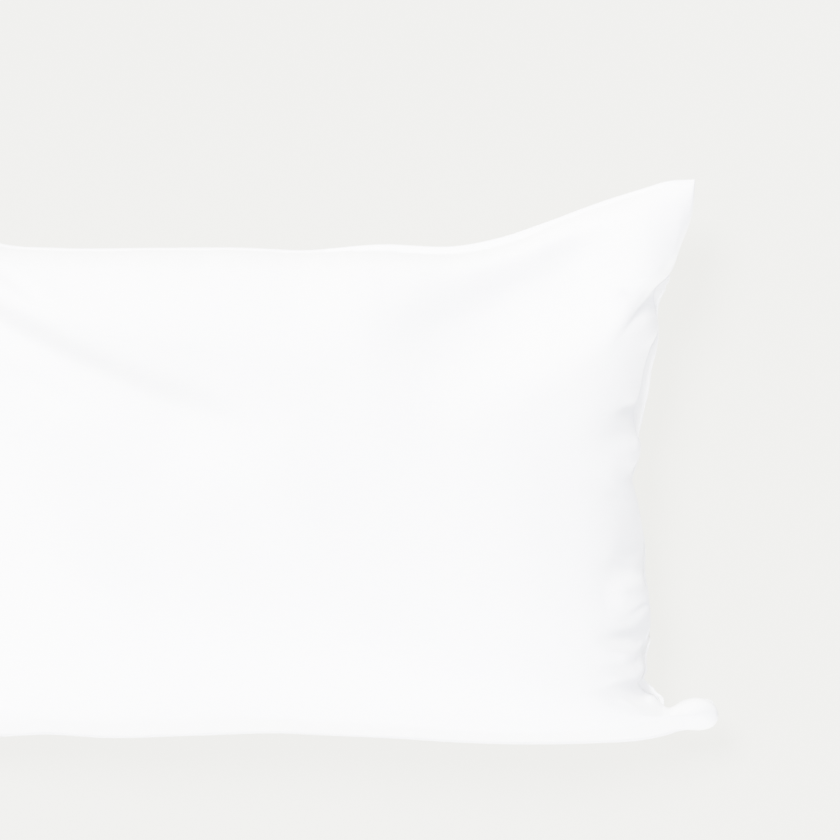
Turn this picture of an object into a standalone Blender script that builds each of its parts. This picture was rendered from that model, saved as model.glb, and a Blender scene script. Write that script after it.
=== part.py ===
"""A plain pillowcase, filled by its pillow and lying on its back, in metres with +Z up.

case_front is the front panel with the pillow behind it, one filled solid. case_back is the back panel, a thin
sheet that carries it. Three sides are sewn. At the +X end the front panel is folded in, and the hemmed edge of
the back panel lies free just outside that fold.
"""

from collections import namedtuple

import bmesh
import bpy
import numpy as np

MM = 0.001

# Cloth
SHEET = 1.5 * MM  # the back panel with its turned seam allowance and hem
SEAM_GAP = 0.4 * MM  # between the two panels
INSET = SHEET + SEAM_GAP  # how far the front's underside lies inside the outline

# Fill
CROWN = 96 * MM  # the front's rise above the seam at the middle
BELLY = 1.16  # the back's drop under the seam, as a share of the seam's height: past 1 it lies flat
FRONT_ROUND = (3.0, 4.6, 2.6, 3.6)  # flatness of the front's arch in its -X, +X, -Y and +Y halves
BACK_ROUND = (5.0, 5.0, 3.4, 3.4)  # the same for the back, which the weight squares off: 2 is an ellipse
SIDE_SHARPNESS = 0.5  # 0.5 meets the seam square on, and 1 in a knife edge
CORNER_REACH = 4.0  # how closely the flat ears keep to their corners
RIDGES_FROM = 0.14  # ridges have their whole rise where the case is at least this full
FOLD_ROOM = 0.8  # share of the front's rise that a trough can take away
LEAST_ROOM = 0.001 * MM  # the least rise that this share is taken of

# The open end
WAVE_SHARE = 0.12  # share of the open end over which its line is averaged for the cloth away from it
WAVE_REACH = 0.11  # share of the length over which the line's short waves die out
CORNER_SHARE = 0.1  # share of the open end, at each corner, where the line isn't averaged
HEM_LEVEL = 0.014  # share of the length over which the hem lies level with the seam
HEM_BEND = 0.02  # share of the length over which it then turns down under the pillow
HEM_REACH = 0.026  # share of the length over which the free hem stands off

# Mesh
CELLS = (43, 35)  # along X and along Y
CROWDING = (0.5, 0.25)  # how far the grid's lines gather towards the edges, along X and along Y

# The seam line, in millimetres: x and y in plan, z above the surface that the case lies on.
Station = namedtuple("Station", "x y z")

TOP_SEAM = [
    Station(-376, 240, 64),
    Station(-352, 238, 65),
    Station(-318, 221, 64),
    Station(-285, 203, 62),
    Station(-255, 193, 61),
    Station(-202, 189, 61),
    Station(-123, 189, 62),
    Station(-35, 189, 62),
    Station(9, 187, 62),
    Station(79, 192, 63),
    Station(150, 191, 63),
    Station(185, 198, 64),
    Station(224, 211, 66),
    Station(273, 229, 68),
    Station(308, 240, 72),
    Station(333, 247, 76),
    Station(355, 248, 78),
]
BOTTOM_SEAM = [
    Station(-366, -226, 52),
    Station(-345, -234, 52),
    Station(-305, -240, 53),
    Station(-255, -241, 54),
    Station(-216, -239, 56),
    Station(-167, -242, 55),
    Station(-79, -240, 56),
    Station(-9, -238, 58),
    Station(35, -240, 58),
    Station(97, -243, 57),
    Station(141, -246, 56),
    Station(202, -248, 56),
    Station(273, -247, 54),
    Station(308, -245, 52),
    Station(330, -241, 50),
    Station(348, -236, 49),
    Station(364, -235, 48),
    Station(374, -231, 48),
    Station(378, -222, 48),
]
LEFT_SEAM = [
    Station(-366, -226, 52),
    Station(-352, -208, 53),
    Station(-341, -180, 55),
    Station(-332, -130, 57),
    Station(-327, -50, 58),
    Station(-327, 15, 59),
    Station(-332, 80, 60),
    Station(-342, 134, 61),
    Station(-361, 178, 62),
    Station(-372, 208, 63),
    Station(-376, 240, 64),
]
OPEN_END = [
    Station(378, -222, 48),
    Station(371, -212, 48),
    Station(358, -207, 49),
    Station(346, -210, 50),
    Station(334, -216, 51),
    Station(317, -204, 52),
    Station(308, -190, 53),
    Station(311, -178, 54),
    Station(308, -165, 55),
    Station(316, -151, 56),
    Station(317, -125, 57),
    Station(311, -98, 57),
    Station(311, -66, 57),
    Station(306, -33, 57),
    Station(301, -10, 58),
    Station(309, 12, 58),
    Station(303, 33, 58),
    Station(302, 44, 59),
    Station(307, 60, 59),
    Station(312, 86, 61),
    Station(316, 99, 62),
    Station(323, 115, 62),
    Station(323, 127, 63),
    Station(320, 140, 64),
    Station(320, 151, 65),
    Station(333, 165, 67),
    Station(343, 190, 70),
    Station(352, 216, 74),
    Station(355, 248, 78),
]

# The free hem at the open end: how far it stands out past the front's fold and lies below it, in millimetres.
Lip = namedtuple("Lip", "y out down")
HEM_LIP = [
    Lip(-222, 0.0, 0),
    Lip(-216, 1.0, 1),
    Lip(-203, 8.0, 5),
    Lip(-192, 4.0, 3),
    Lip(-178, 2.2, 3),
    Lip(-165, 6.6, 4),
    Lip(-152, 0.8, 1),
    Lip(-122, 0.4, 0),
    Lip(-110, 3.0, 2),
    Lip(-80, 3.2, 2),
    Lip(-56, 0.6, 0),
    Lip(-19, 0.4, 0),
    Lip(-8, 2.0, 2),
    Lip(8, 0.4, 0),
    Lip(25, 1.8, 2),
    Lip(34, 7.0, 4),
    Lip(44, 9.2, 6),
    Lip(62, 7.6, 5),
    Lip(98, 6.5, 4),
    Lip(113, 2.2, 2),
    Lip(128, 1.3, 1),
    Lip(140, 5.0, 3),
    Lip(151, 11.0, 6),
    Lip(160, 6.0, 4),
    Lip(167, 0.3, 0),
    Lip(248, 0.0, 0),
]

# The ears: which corner, and how sharply the fill dies out towards it. Under 0.5 the ear is a round roll.
Ear = namedtuple("Ear", "at_x at_y sharpness")
EARS = [
    Ear(-1, +1, 0.74),
    Ear(+1, +1, 0.70),
    Ear(-1, -1, 0.66),
    Ear(+1, -1, 0.42),
]

# Troughs and ridges in the front, in millimetres. Each follows a curve in plan through three points, and reaches to
# the left and to the right of its direction. Its rise is negative for a trough. Grow and fade are the shares of its
# length over which it comes and goes, and spread is its reach at the end as a share of that at the start.
Fold = namedtuple("Fold", "x0 y0 xm ym x1 y1 left right rise grow fade spread")
FOLDS = [
    Fold(308, 214, 184, 134, 60, 100, 46, 32, -28, 0.3, 0.45, 1.0),  # long trough in from the +X +Y ear
    Fold(345, 225, 290, 105, 205, 15, 34, 34, 6, 0.4, 0.5, 1.0),  # the ridge beside it
    Fold(338, 172, 309, 143, 275, 102, 26, 8, -11, 0.1, 0.7, 1.4),  # crease under the ear
    Fold(-320, 164, -160, 74, 10, 18, 13, 26, -15, 0.2, 0.4, 3.0),  # long trough in from the -X +Y ear
    Fold(-310, 180, -185, 120, -60, 96, 22, 22, 5, 0.4, 0.5, 1.0),  # the ridge above it
    Fold(-250, -150, -185, -105, -120, -60, 40, 40, 4, 0.4, 0.5, 1.0),  # soft swell towards the -X -Y ear
    Fold(316, -20, 322, -60, 320, -104, 12, 30, -7, 0.4, 0.5, 1.0),  # slack slope at the open end
    Fold(300, -108, 290, -112, 280, -116, 15, 15, 3.5, 0.5, 0.5, 1.0),  # round bump under it
    Fold(318, -151, 296, -151, 266, -146, 8, 13, -7, 0.1, 0.8, 1.2),  # pucker at the open end
    Fold(305, 40, 294, 46, 280, 55, 8, 8, -6, 0.1, 0.8, 1.6),  # hollow where the edge is drawn in
]
FOLD_PIECES = 12  # straight pieces that each fold's curve is measured on

Look = namedtuple("Look", "colour roughness")
FRONT_COTTON = Look((0.93, 0.93, 0.925, 1.0), 0.85)
BACK_COTTON = Look((0.91, 0.91, 0.91, 1.0), 0.88)


def smooth_line(rows, at):
    """Points of a smooth curve through the rows of a table; `at` runs from 0 to 1 by the length of the chords."""
    knots = np.array(rows, float)
    steps = np.linalg.norm(np.diff(knots[:, :2], axis=0), axis=1)
    along = np.concatenate([[0], np.cumsum(steps)]) / steps.sum()
    slopes = np.gradient(knots, along, axis=0)
    span = np.clip(np.searchsorted(along, at, side="right") - 1, 0, len(along) - 2)
    width = along[span + 1] - along[span]
    t = ((at - along[span]) / width)[..., None]
    width = width[..., None]
    return (
        (1 + 2 * t) * (1 - t) ** 2 * knots[span]
        + t * (1 - t) ** 2 * width * slopes[span]
        + t**2 * (3 - 2 * t) * knots[span + 1]
        + t**2 * (t - 1) * width * slopes[span + 1]
    )


def eased(share):
    """Runs from 0 to 1 with a soft start and a soft end."""
    held = np.clip(share, 0, 1)
    return held * held * (3 - 2 * held)


def gentle_end(v):
    """The open end's line without its short waves, which stay in its corners."""
    step = WAVE_SHARE / 3 * eased(np.minimum(v, 1 - v) / CORNER_SHARE)
    return np.mean([smooth_line(OPEN_END, np.clip(v + k * step, 0, 1)) for k in range(-3, 4)], axis=0)


def seam_patch(u, v):
    """The surface that the four sides of the outline span: u runs 0 to 1 along X, and v along Y."""
    bottom, top = smooth_line(BOTTOM_SEAM, u), smooth_line(TOP_SEAM, u)
    left, right = smooth_line(LEFT_SEAM, v), gentle_end(v)
    a, b = u[..., None], v[..., None]
    sides = (1 - b) * bottom + b * top + (1 - a) * left + a * right
    at_bottom = (1 - a) * np.array(BOTTOM_SEAM[0]) + a * np.array(BOTTOM_SEAM[-1])
    at_top = (1 - a) * np.array(TOP_SEAM[0]) + a * np.array(TOP_SEAM[-1])
    waves = eased((a - 1) / WAVE_REACH + 1) * (smooth_line(OPEN_END, v) - right)
    return (sides - (1 - b) * at_bottom - b * at_top + waves) * MM


def grid():
    """u and v of every grid point, with the lines gathered towards the edges."""
    sides = []
    for cells, crowding in zip(CELLS, CROWDING):
        even = np.linspace(-1, 1, cells + 1)
        side = (1 - crowding) * even + crowding * np.sin(even * np.pi / 2)
        sides.append((side + 1) / 2)
    return np.meshgrid(*sides, indexing="ij")


def fill(u, v, flatness):
    """How full the case is at a point, 1 in the middle and 0 at the seam, with thin ears in the corners."""
    x, y = 2 * u - 1, 2 * v - 1
    sharpness = SIDE_SHARPNESS
    for ear in EARS:
        near = np.clip(ear.at_x * x, 0, 1) * np.clip(ear.at_y * y, 0, 1)
        sharpness = sharpness + (ear.sharpness - SIDE_SHARPNESS) * near**CORNER_REACH
    low_x, high_x, low_y, high_y = flatness
    along = np.abs(x) ** np.where(x < 0, low_x, high_x)
    across = np.abs(y) ** np.where(y < 0, low_y, high_y)
    arch = (1 - along) * (1 - across)
    return np.clip(arch, 0, 1) ** sharpness


def place_on_fold(fold, x, y):
    """How far along a fold's curve each point lies, from 0 to 1, how far off it, and whether on its left."""
    t = np.linspace(0, 1, FOLD_PIECES + 1)
    bend_x = 2 * fold.xm - (fold.x0 + fold.x1) / 2
    bend_y = 2 * fold.ym - (fold.y0 + fold.y1) / 2
    line_x = (1 - t) ** 2 * fold.x0 + 2 * t * (1 - t) * bend_x + t**2 * fold.x1
    line_y = (1 - t) ** 2 * fold.y0 + 2 * t * (1 - t) * bend_y + t**2 * fold.y1
    nearest = np.full(x.shape, np.inf)
    along = np.zeros(x.shape)
    on_left = np.zeros(x.shape, bool)
    for k in range(FOLD_PIECES):
        dx, dy = line_x[k + 1] - line_x[k], line_y[k + 1] - line_y[k]
        share = ((x - line_x[k]) * dx + (y - line_y[k]) * dy) / (dx * dx + dy * dy)
        low = -np.inf if k == 0 else 0.0
        high = np.inf if k == FOLD_PIECES - 1 else 1.0
        share = np.clip(share, low, high)
        off_x, off_y = x - line_x[k] - share * dx, y - line_y[k] - share * dy
        gap = np.hypot(off_x, off_y)
        closer = gap < nearest
        nearest = np.where(closer, gap, nearest)
        along = np.where(closer, (k + share) / FOLD_PIECES, along)
        on_left = np.where(closer, dx * off_y > dy * off_x, on_left)
    return along, nearest, on_left


def fold_rise(points):
    """The height that the table of folds adds at each point."""
    x, y = points[..., 0] / MM, points[..., 1] / MM
    rise = np.zeros_like(x)
    for fold in FOLDS:
        along, off, on_left = place_on_fold(fold, x, y)
        wider = 1 + (fold.spread - 1) * np.clip(along, 0, 1)
        reach = np.where(on_left, fold.left, fold.right) * wider
        strength = eased(along / fold.grow) * eased((1 - along) / fold.fade)
        rise += fold.rise * strength * np.exp(-((off / reach) ** 2))
    return rise * MM


def front_face(u, v):
    """The front panel's outer face. Its troughs stay clear of the face under the pillow."""
    points = seam_patch(u, v)
    full = fill(u, v, FRONT_ROUND)
    rise = fold_rise(points)
    ridges = np.maximum(rise, 0) * eased(full / RIDGES_FROM)
    room = np.maximum(FOLD_ROOM * CROWN * full, LEAST_ROOM)
    troughs = room * np.tanh(np.minimum(rise, 0) / room)
    points[..., 2] += SHEET + CROWN * full + ridges + troughs
    return points


def front_underside(u, v):
    """The face under the pillow, a little inside the outline. It is flat where the case lies on it, and level
    with the seam along the hem."""
    size = np.ptp(seam_patch(u, v)[..., :2], axis=(0, 1))
    inset_u, inset_v = INSET / size
    points = seam_patch(inset_u + (1 - 2 * inset_u) * u, inset_v + (1 - 2 * inset_v) * v)
    inside = 1 - HEM_LEVEL
    full = fill(np.clip(u / inside, 0, 1), v, BACK_ROUND) * eased((inside - u) / HEM_BEND)
    points[..., 2] = np.maximum(points[..., 2] * (1 - BELLY * full), INSET)
    return points


def open_hem(points, u):
    """The back panel's points with its free hem at the open end standing out and down."""
    lips = np.array(HEM_LIP, float)
    y = points[..., 1] / MM
    reach = np.clip((u - (1 - HEM_REACH)) / HEM_REACH, 0, 1) ** 2
    moved = points.copy()
    moved[..., 0] += reach * np.interp(y, lips[:, 0], lips[:, 1]) * MM
    moved[..., 2] -= reach * np.interp(y, lips[:, 0], lips[:, 2]) * MM
    return moved


def outward(points):
    """Unit normals of a grid, pointing down and out of the case."""
    along_u, along_v = np.gradient(points, axis=0), np.gradient(points, axis=1)
    normals = np.cross(along_v, along_u)
    return normals / np.linalg.norm(normals, axis=2, keepdims=True)


def back_faces(u, v):
    """The back panel's inner and outer faces."""
    under_pillow = open_hem(front_underside(u, v), u)
    normals = outward(under_pillow)
    inner = under_pillow + SEAM_GAP * normals
    outer = under_pillow + INSET * normals
    outer[..., 2] = np.maximum(outer[..., 2], 0)
    return inner, outer


def cotton(name, look):
    """A plain matt material."""
    material = bpy.data.materials.new(name)
    material.use_nodes = True
    shader = material.node_tree.nodes["Principled BSDF"]
    shader.inputs["Base Color"].default_value = look.colour
    shader.inputs["Roughness"].default_value = look.roughness
    shader.inputs["Metallic"].default_value = 0.0
    return material


def closed_piece(name, over, under, look):
    """One solid between two grids of points, joined round their edges."""
    maker = bmesh.new()
    upper = [[maker.verts.new(point) for point in row] for row in over]
    lower = [[maker.verts.new(point) for point in row] for row in under]
    last_u, last_v = len(upper) - 1, len(upper[0]) - 1
    for i in range(last_u):
        for j in range(last_v):
            square = ((i, j), (i + 1, j), (i + 1, j + 1), (i, j + 1))
            maker.faces.new([upper[a][b] for a, b in square])
            maker.faces.new([lower[a][b] for a, b in reversed(square)])
    rim = [(i, 0) for i in range(last_u)]
    rim += [(last_u, j) for j in range(last_v)]
    rim += [(i, last_v) for i in range(last_u, 0, -1)]
    rim += [(0, j) for j in range(last_v, 0, -1)]
    for (a, b), (c, d) in zip(rim, rim[1:] + rim[:1]):
        maker.faces.new([upper[a][b], lower[a][b], lower[c][d], upper[c][d]])
    bmesh.ops.recalc_face_normals(maker, faces=maker.faces)
    bmesh.ops.triangulate(maker, faces=maker.faces)
    mesh = bpy.data.meshes.new(name)
    maker.to_mesh(mesh)
    maker.free()
    mesh.shade_smooth()
    mesh.materials.append(cotton(name + "_cotton", look))
    piece = bpy.data.objects.new(name, mesh)
    bpy.context.scene.collection.objects.link(piece)


def main():
    """Builds both panels about the middle of the case's footprint."""
    for old in list(bpy.data.objects):
        bpy.data.objects.remove(old)
    u, v = grid()
    faces = [front_face(u, v), front_underside(u, v), *back_faces(u, v)]
    corners = np.concatenate([face.reshape(-1, 3) for face in faces])
    middle = (corners.min(axis=0) + corners.max(axis=0)) / 2
    for face in faces:
        face[..., :2] -= middle[:2]
    closed_piece("case_front", faces[0], faces[1], FRONT_COTTON)
    closed_piece("case_back", faces[2], faces[3], BACK_COTTON)


main()
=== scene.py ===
"""Looks of a plain cotton pillowcase, filled by its pillow and lying on its back.

The front panel swells over the pillow and is one padded piece. The back panel is a thin sheet
under it, sewn to it on three sides, and its hem lies free at the open end. Lengths are in metres,
unless a name or a table says millimetres.
"""

import logging
import math
from collections.abc import Callable
from dataclasses import dataclass, field
from enum import Enum
from functools import partial
from typing import Any, NamedTuple, TypeVar

import bpy
import numpy as np
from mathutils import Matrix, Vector
from numpy.typing import NDArray


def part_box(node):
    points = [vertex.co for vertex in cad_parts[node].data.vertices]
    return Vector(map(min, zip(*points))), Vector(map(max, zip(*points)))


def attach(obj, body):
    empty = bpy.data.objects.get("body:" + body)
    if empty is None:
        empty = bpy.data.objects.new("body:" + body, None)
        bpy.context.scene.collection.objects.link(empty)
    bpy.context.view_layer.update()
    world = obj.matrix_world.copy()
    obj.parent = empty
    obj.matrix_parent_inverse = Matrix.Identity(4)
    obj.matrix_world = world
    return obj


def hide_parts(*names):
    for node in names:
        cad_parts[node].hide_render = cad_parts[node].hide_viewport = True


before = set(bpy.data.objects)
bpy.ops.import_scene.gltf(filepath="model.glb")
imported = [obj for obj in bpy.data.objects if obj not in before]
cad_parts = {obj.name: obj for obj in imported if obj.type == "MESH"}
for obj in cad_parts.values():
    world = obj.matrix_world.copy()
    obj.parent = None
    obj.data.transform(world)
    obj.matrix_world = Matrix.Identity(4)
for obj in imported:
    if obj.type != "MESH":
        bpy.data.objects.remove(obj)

LOG = logging.getLogger("pillowcase")
MM = 0.001
ROOT = "root"
TINY = 1e-12  # keeps a division sound where its divisor is 0

Points = NDArray[np.float64]
Span = tuple[float, float]
Inputs = dict[str | int, Any]
AddNode = Callable[..., bpy.types.NodeOutputs]
Row = TypeVar("Row")


class Node(str, Enum):
    """The solids of the frame."""

    FRONT = "case_front"
    BACK = "case_back"


class Side(Enum):
    """The sides of the case: which of u and v runs along it, and where the other stands."""

    BOTTOM = ("u", 0)
    TOP = ("u", 1)
    LEFT = ("v", 0)
    OPEN = ("v", 1)


def table(kind: Callable[..., Row], *rows: tuple[Any, ...]) -> tuple[Row, ...]:
    """Makes each plain row one of a kind, whose fields name the columns."""
    return tuple(kind(*row) for row in rows)


def put_in_scene(name: str, data: bpy.types.ID) -> bpy.types.Object:
    """Makes an object at the origin and links it to the scene.

    Args:
        name: its name.
        data: its mesh, lamp or camera.

    Returns:
        The object.
    """
    thing = bpy.data.objects.new(name, data)
    bpy.context.scene.collection.objects.link(thing)
    return thing


# ---- materials ----


def linear(colour: str) -> tuple[float, float, float, float]:
    """Turns an sRGB hex colour into a linear one.

    Args:
        colour: six hex digits after a hash sign.

    Returns:
        Red, green, blue and an alpha of 1.
    """
    channels = [int(colour[i : i + 2], 16) / 255 for i in (1, 3, 5)]
    red, green, blue = (
        c / 12.92 if c <= 0.04045 else ((c + 0.055) / 1.055) ** 2.4 for c in channels
    )
    return red, green, blue, 1.0


def feed(tree: bpy.types.NodeTree, node: bpy.types.Node, inputs: Inputs) -> None:
    """Gives a node's inputs their values and links.

    Args:
        tree: the node's tree.
        node: the node.
        inputs: a value, or another node's output, for each input by name or number.
    """
    for key, value in inputs.items():
        if isinstance(value, bpy.types.NodeSocket):
            tree.links.new(value, node.inputs[key])
        else:
            node.inputs[key].default_value = value


def add_node(
    tree: bpy.types.NodeTree, kind: str, inputs: Inputs | None = None, **settings: Any
) -> bpy.types.NodeOutputs:
    """Adds one node with its settings and its links.

    Args:
        tree: the tree that takes the node.
        kind: the node's type name.
        inputs: what feed takes.
        settings: the node's own properties.

    Returns:
        The node's outputs.
    """
    node = tree.nodes.new(kind)
    for name, value in settings.items():
        setattr(node, name, value)
    feed(tree, node, inputs or {})
    return node.outputs


@dataclass(frozen=True)
class Finish:
    """What a piece is made of, as a material with one Principled shader."""

    name: str

    def inputs(self, add: AddNode) -> Inputs:
        """Builds the patterns with add, and gives the shader's inputs what goes into them."""
        raise NotImplementedError

    def make(self) -> bpy.types.Material:
        """Makes the material.

        Returns:
            The material.
        """
        material = bpy.data.materials.new(self.name)
        material.use_nodes = True
        tree = material.node_tree
        feed(tree, tree.nodes["Principled BSDF"], self.inputs(partial(add_node, tree)))
        return material


@dataclass(frozen=True)
class CottonPercale(Finish):
    """Bleached plain-woven cotton, ironed flat: a matt white that scatters light evenly, with a
    faint soft sheen.

    The real cloth has about three threads to the millimetre. They are drawn a millimetre apart,
    since finer ones don't show at arm's length.
    """

    colour: str = "#F3F3F3"
    slub_colour: str = "#EEEEEF"
    slub_length: float = 1 / 60
    slub_width: float = 1 / 1400
    slub_share: Span = (0.45, 0.75)
    roughness: float = 0.85
    hollow_roughness: float = 0.93
    specular: float = 0.3
    sheen: float = 0.15
    sheen_roughness: float = 0.5
    thread: float = 1.0 * MM
    weave_depth: float = 0.05 * MM
    weave_strength: float = 0.6
    crumple: float = 22 * MM
    crumple_depth: float = 0.35 * MM
    crumple_roughness: float = 0.45
    let_through: float = 0.0
    scatter: float = 5 * MM

    def inputs(self, add: AddNode) -> Inputs:
        """Draws the weave, the slubs and the crumples, by the UV map of the panel's cut, in metres.

        Args:
            add: adds a node.

        Returns:
            The shader's inputs.
        """
        cut = add("ShaderNodeUVMap", uv_map="cut")[0]
        turns = [math.pi / self.thread] * 3
        threads = add("ShaderNodeMapping", {"Vector": cut, "Scale": turns})
        across = add("ShaderNodeSeparateXYZ", {0: threads[0]})
        warp, weft = (add("ShaderNodeMath", {0: across[way]}, operation="SINE")[0] for way in "XY")
        weave = add("ShaderNodeMath", {0: warp, 1: weft}, operation="MULTIPLY")[0]
        stretch = (1 / self.slub_length, 1 / self.slub_width, 1.0)
        place = add("ShaderNodeMapping", {"Vector": cut, "Scale": stretch})
        slubs = add("ShaderNodeTexNoise", {"Vector": place[0], "Scale": 1.0, "Detail": 2.0})
        low, high = self.slub_share
        seen = {"Value": slubs["Fac"], "From Min": low, "From Max": high}
        share = add("ShaderNodeMapRange", seen)[0]
        colours = {6: linear(self.colour), 7: linear(self.slub_colour)}
        tint = add("ShaderNodeMix", {"Factor": share, **colours}, data_type="RGBA")
        rough = {"Scale": 1 / self.crumple, "Detail": 3.0, "Roughness": self.crumple_roughness}
        crumple = add("ShaderNodeTexNoise", {"Vector": cut, **rough})["Fac"]
        heights = {"Height": crumple, "Distance": self.crumple_depth, "Strength": 1.0}
        soft = add("ShaderNodeBump", heights)[0]
        heights = {"Height": weave, "Distance": self.weave_depth, "Strength": self.weave_strength}
        fine = add("ShaderNodeBump", {"Normal": soft, **heights})
        ends = {"To Min": self.hollow_roughness, "To Max": self.roughness}
        dry = add("ShaderNodeMapRange", {"Value": weave, "From Min": -1.0, **ends})
        return {
            "Base Color": tint[2],
            "Roughness": dry[0],
            "Normal": fine[0],
            "Specular IOR Level": self.specular,
            "Sheen Weight": self.sheen,
            "Sheen Roughness": self.sheen_roughness,
            "Subsurface Weight": self.let_through,
            "Subsurface Radius": (1.0, 1.0, 1.0),
            "Subsurface Scale": self.scatter,
        }


@dataclass(frozen=True)
class SewingCotton(Finish):
    """Spun and twisted sewing thread: a little smoother and brighter than the cloth, with a fine
    twist. Its grooves are painted darker, as painted shade where the strands dip."""

    colour: str = "#F7F7F5"
    hollow_colour: str = "#DCDCDB"
    twist: float = 0.35 * MM
    turns: float = 0.3
    strand_depth: float = 0.05 * MM
    strand_strength: float = 0.5
    roughness: float = 0.7
    sheen: float = 0.1

    def inputs(self, add: AddNode) -> Inputs:
        """Draws the twist, with painted shade in its grooves, in Object coordinates.

        Args:
            add: adds a node.

        Returns:
            The shader's inputs.
        """
        place = add("ShaderNodeTexCoord")["Object"]
        waves = {"Vector": place, "Scale": self.turns / self.twist, "Distortion": 1.0}
        strands = add("ShaderNodeTexWave", waves, bands_direction="DIAGONAL")["Fac"]
        # painted shade: the twist's grooves take the darker colour where the bump sinks
        colours = {6: linear(self.hollow_colour), 7: linear(self.colour)}
        tint = add("ShaderNodeMix", {"Factor": strands, **colours}, data_type="RGBA")
        depths = {"Distance": self.strand_depth, "Strength": self.strand_strength}
        return {
            "Base Color": tint[2],
            "Normal": add("ShaderNodeBump", {"Height": strands, **depths})[0],
            "Roughness": self.roughness,
            "Sheen Weight": self.sheen,
        }


@dataclass(frozen=True)
class OpalAcrylic(Finish):
    """Opal acrylic sheet, matt on top, that glows on its own though no lamp lies under it: painted
    light, which lights the case from beneath and keeps the shadows on the ground faint."""

    colour: str = "#666665"
    glow_colour: str = "#FFFFED"
    glow: float = 4.35
    grain: float = 1 / 900
    grain_depth: float = 0.02 * MM
    roughness: float = 0.95

    def inputs(self, add: AddNode) -> Inputs:
        """Draws the fine grain of the matt side.

        Args:
            add: adds a node.

        Returns:
            The shader's inputs.
        """
        place = add("ShaderNodeTexCoord")["Object"]
        grain = add("ShaderNodeTexNoise", {"Vector": place, "Scale": 1 / self.grain})["Fac"]
        bump = add("ShaderNodeBump", {"Height": grain, "Distance": self.grain_depth})
        return {
            "Normal": bump[0],
            "Base Color": linear(self.colour),
            "Roughness": self.roughness,
            "Specular IOR Level": 0.0,
            # painted light: the ground's own glow, with no lamp under it
            "Emission Color": linear(self.glow_colour),
            "Emission Strength": self.glow,
        }


# ---- the outline ----


def eased(share: Points) -> Points:
    """Runs from 0 to 1 with a soft start and a soft end."""
    held = np.clip(share, 0, 1)
    return held * held * (3 - 2 * held)


class Station(NamedTuple):
    """A point of the seam line, in millimetres, z above the surface that the case lies on."""

    x: float
    y: float
    z: float


@dataclass(frozen=True)
class SmoothLine:
    """A smooth curve through the rows of a table."""

    rows: tuple[Station, ...]

    @classmethod
    def through(cls, *rows: tuple[float, float, float]) -> "SmoothLine":
        """Makes the curve through stations, each given as its x, y and z."""
        return cls(table(Station, *rows))

    def at(self, share: Points) -> Points:
        """Finds points on the curve.

        Args:
            share: how far along it each point lies, from 0 to 1 by the chords' length.

        Returns:
            The points, with the table's columns along the last axis.
        """
        knots = np.array(self.rows, float)
        steps = np.linalg.norm(np.diff(knots[:, :2], axis=0), axis=1)
        along = np.concatenate([[0], np.cumsum(steps)]) / steps.sum()
        slopes = np.gradient(knots, along, axis=0)
        span = np.clip(np.searchsorted(along, share, side="right") - 1, 0, len(along) - 2)
        width = along[span + 1] - along[span]
        t = ((share - along[span]) / width)[..., None]
        width = width[..., None]
        return (
            (1 + 2 * t) * (1 - t) ** 2 * knots[span]
            + t * (1 - t) ** 2 * width * slopes[span]
            + t**2 * (3 - 2 * t) * knots[span + 1]
            + t**2 * (t - 1) * width * slopes[span + 1]
        )


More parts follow.
